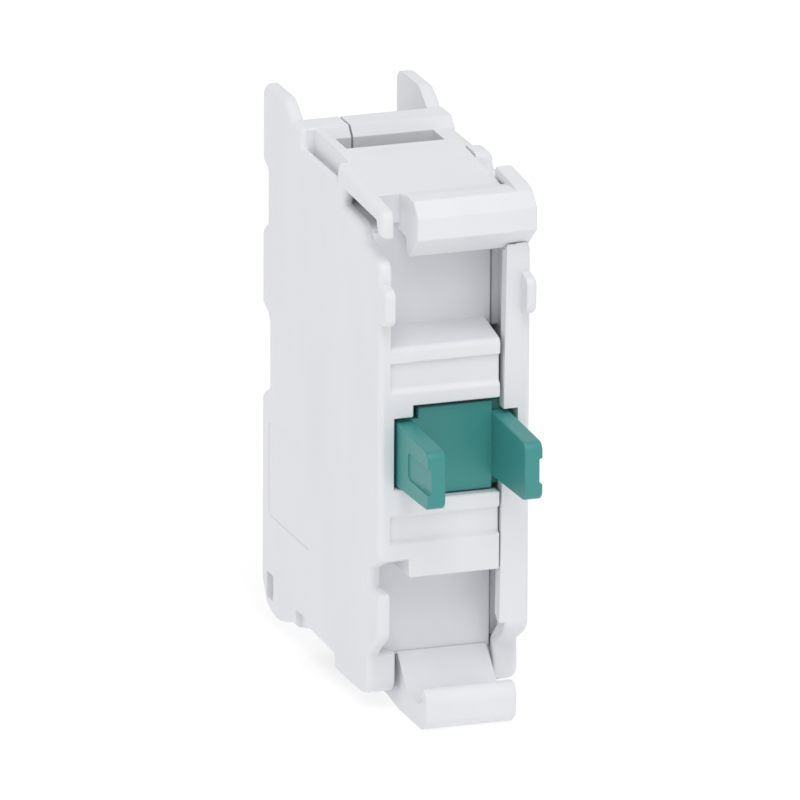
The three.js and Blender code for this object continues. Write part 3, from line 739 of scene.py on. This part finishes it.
def terminal_nut(place):
    across, up = place
    body = block([across - 2.75, across + 2.75], [13.34, 15.0], [up - 2.75, up + 2.75], 0.2)
    return cut(body, lathe([
        [0, 13], [2.15, 13], [2.15, 13.36], [1.85, 13.7], [1.85, 14.7], [2.15, 15.0],
        [2.15, 15.4], [0, 15.4],
    ], place))


def terminal_strip(place, side):
    across, up = place
    reach = [up + 3.65 * side, up - 3.05 * side]
    tongue = [up - 2.8 * side, up - 7.65 * side]
    plate = block([across - 3.0, across + 3.0], [12.3, 13.3], sorted(reach), 0.1)
    arm = block([across - 1.7, across + 1.7], [12.3, 13.3], sorted(tongue), 0.1)
    return cut(join(plate, arm), rod(1.85, [12, 14], place))


def contact_tip(base, seat, crown, height):
    """A silver rivet with a domed contact face."""
    rise = crown - seat
    return lathe([
        [0, base], [0.5, base], [0.5, seat], [1.0, seat], [1.0, seat + 0.63 * rise],
        [0.93, seat + 0.77 * rise], [0.75, seat + 0.87 * rise], [0.45, seat + 0.96 * rise],
        [0, crown],
    ], [MIDDLE, height], 32)


def contact_bridge():
    axis = PLUNGER_AXIS
    plate = slab([
        [17.0, axis - 4.9], [17.7, axis - 4.9], [17.7, axis + 4.9], [17.0, axis + 4.9],
    ], MIDDLE - 1.7, MIDDLE + 1.7, 0.1)
    seat = cut(rod(1.9, [17.55, 17.7], [MIDDLE, axis]), rod(1.2, [17, 18], [MIDDLE, axis]))
    return cut(plate, seat)


def coil(radius, wire, forward, turns):
    """A compression spring with its turns closer together towards both ends."""
    back, front = forward[0] + wire, forward[1] - wire
    steps = int(turns * TURN_STEPS)
    bm = bmesh.new()
    rings = []
    for step in range(steps + 1):
        t = step / steps
        angle = 2 * math.pi * turns * t
        eased = t - END_CLOSING * math.sin(2 * math.pi * t)
        at = back + (front - back) * eased
        outward = Vector((math.cos(angle), 0, math.sin(angle)))
        centre = Vector((MIDDLE, -at, PLUNGER_AXIS)) + outward * radius
        rings.append([
            bm.verts.new(
                centre + outward * wire * math.cos(2 * math.pi * side / WIRE_SIDES)
                + Vector((0, 1, 0)) * wire * math.sin(2 * math.pi * side / WIRE_SIDES)
            )
            for side in range(WIRE_SIDES)
        ])
    for low, high in zip(rings, rings[1:]):
        for side in range(WIRE_SIDES):
            after = (side + 1) % WIRE_SIDES
            bm.faces.new((low[side], low[after], high[after], high[side]))
    bm.faces.new(rings[0])
    bm.faces.new(reversed(rings[-1]))
    return finish_bmesh(bm, "coil")


for end, side in (("upper", 1), ("lower", -1)):
    spot = [MIDDLE, TERMINAL_HEIGHTS[end]]
    tip_height = PLUNGER_AXIS + 3.8 * side
    piece(terminal_screw(spot), f"screw_{end}_detail", f"screw_{end}", ZINC, "zinc_steel",
          f"terminal_screw_{end}")
    piece(lock_washer(spot), f"washer_{end}_detail", f"clamp_{end}", ZINC, "zinc_steel",
          f"lock_washer_{end}")
    piece(clamp_plate(spot), f"clamp_{end}_detail", f"clamp_{end}", ZINC, "zinc_steel",
          f"clamp_plate_{end}")
    piece(terminal_nut(spot), f"nut_{end}_detail", "housing", ZINC, "zinc_steel",
          f"terminal_nut_{end}")
    piece(terminal_strip(spot, side), f"strip_{end}_detail", "housing", BRASS, "contact_brass",
          f"terminal_strip_{end}")
    piece(contact_tip(12.33, 13.33, 13.93, tip_height), f"fixed_tip_{end}", "housing", SILVER,
          "contact_silver", f"fixed_contact_{end}")
    piece(contact_tip(17.67, 16.97, 16.37, tip_height), f"moving_tip_{end}", "bridge", SILVER,
          "contact_silver", f"moving_contact_{end}")

piece(contact_bridge(), "bridge_detail", "bridge", BRASS, "contact_brass", "contact_bridge")
piece(coil(1.55, 0.18, [2.3, 9.4], 6), "return_coil", "housing", SPRING, "spring_steel",
      "return_spring")
piece(coil(1.4, 0.15, [17.8, 20.8], 4), "contact_coil", "plunger", SPRING, "spring_steel",
      "contact_spring")

# ---------------------------------------------------------------- stage, light and camera


def floor():
    bpy.ops.mesh.primitive_plane_add(size=4.0, location=(0, 0, cad_low.z))
    plane = bpy.context.object
    plane.name = "floor"
    material, shader = new_material("floor_white", (0.35, 0.35, 0.35), 0.9)
    shader.inputs["Emission Color"].default_value = (1, 1, 1, 1)
    shader.inputs["Emission Strength"].default_value = 0.68
    plane.data.materials.append(material)


def softbox(name, azimuth, elevation, distance, size, power):
    """A square area light aimed at the middle of the block."""
    turn, rise = math.radians(azimuth), math.radians(elevation)
    direction = Vector((
        math.sin(turn) * math.cos(rise), -math.cos(turn) * math.cos(rise), math.sin(rise),
    ))
    middle = (cad_low + cad_high) / 2
    data = bpy.data.lights.new(name, "AREA")
    data.shape = "SQUARE"
    data.size = size
    data.energy = power
    lamp = bpy.data.objects.new(name, data)
    lamp.location = middle + direction * distance
    lamp.rotation_euler = direction.to_track_quat("Z", "Y").to_euler()
    bpy.context.scene.collection.objects.link(lamp)


def world(strength):
    scene_world = bpy.data.worlds.new("studio")
    scene_world.use_nodes = True
    background = scene_world.node_tree.nodes["Background"]
    background.inputs["Color"].default_value = (1, 1, 1, 1)
    background.inputs["Strength"].default_value = strength
    bpy.context.scene.world = scene_world


def camera():
    """A long lens, left of the front and a little above, with a touch of roll."""
    azimuth, elevation, roll = (math.radians(angle) for angle in (19.168, 17.437, 0.271))
    distance = 1.2299
    away = Vector((
        -math.sin(azimuth) * math.cos(elevation), -math.cos(azimuth) * math.cos(elevation),
        math.sin(elevation),
    ))
    level = Vector((math.cos(azimuth), -math.sin(azimuth), 0))
    upright = away.cross(level)
    right = level * math.cos(roll) + upright * math.sin(roll)
    up = upright * math.cos(roll) - level * math.sin(roll)
    looked_at = Vector((0, 2.7 * MM, 17.75 * MM)) + right * 0.257 * MM - up * 0.672 * MM
    data = bpy.data.cameras.new("camera")
    data.lens = 900
    data.sensor_width = 36
    data.clip_end = 20
    obj = bpy.data.objects.new("camera", data)
    pose = Matrix((right, up, away)).transposed().to_4x4()
    obj.matrix_world = Matrix.Translation(looked_at + away * distance) @ pose
    bpy.context.scene.collection.objects.link(obj)
    bpy.context.scene.camera = obj


floor()
bpy.context.scene.view_settings.view_transform = "Standard"
world(0.72)
softbox("key_above_front", -10, 58, 1.1, 0.7, 4.3)
softbox("fill_left", -80, 15, 1.2, 1.0, 0.8)
softbox("fill_right", 85, 30, 1.2, 1.0, 0.3)
camera()
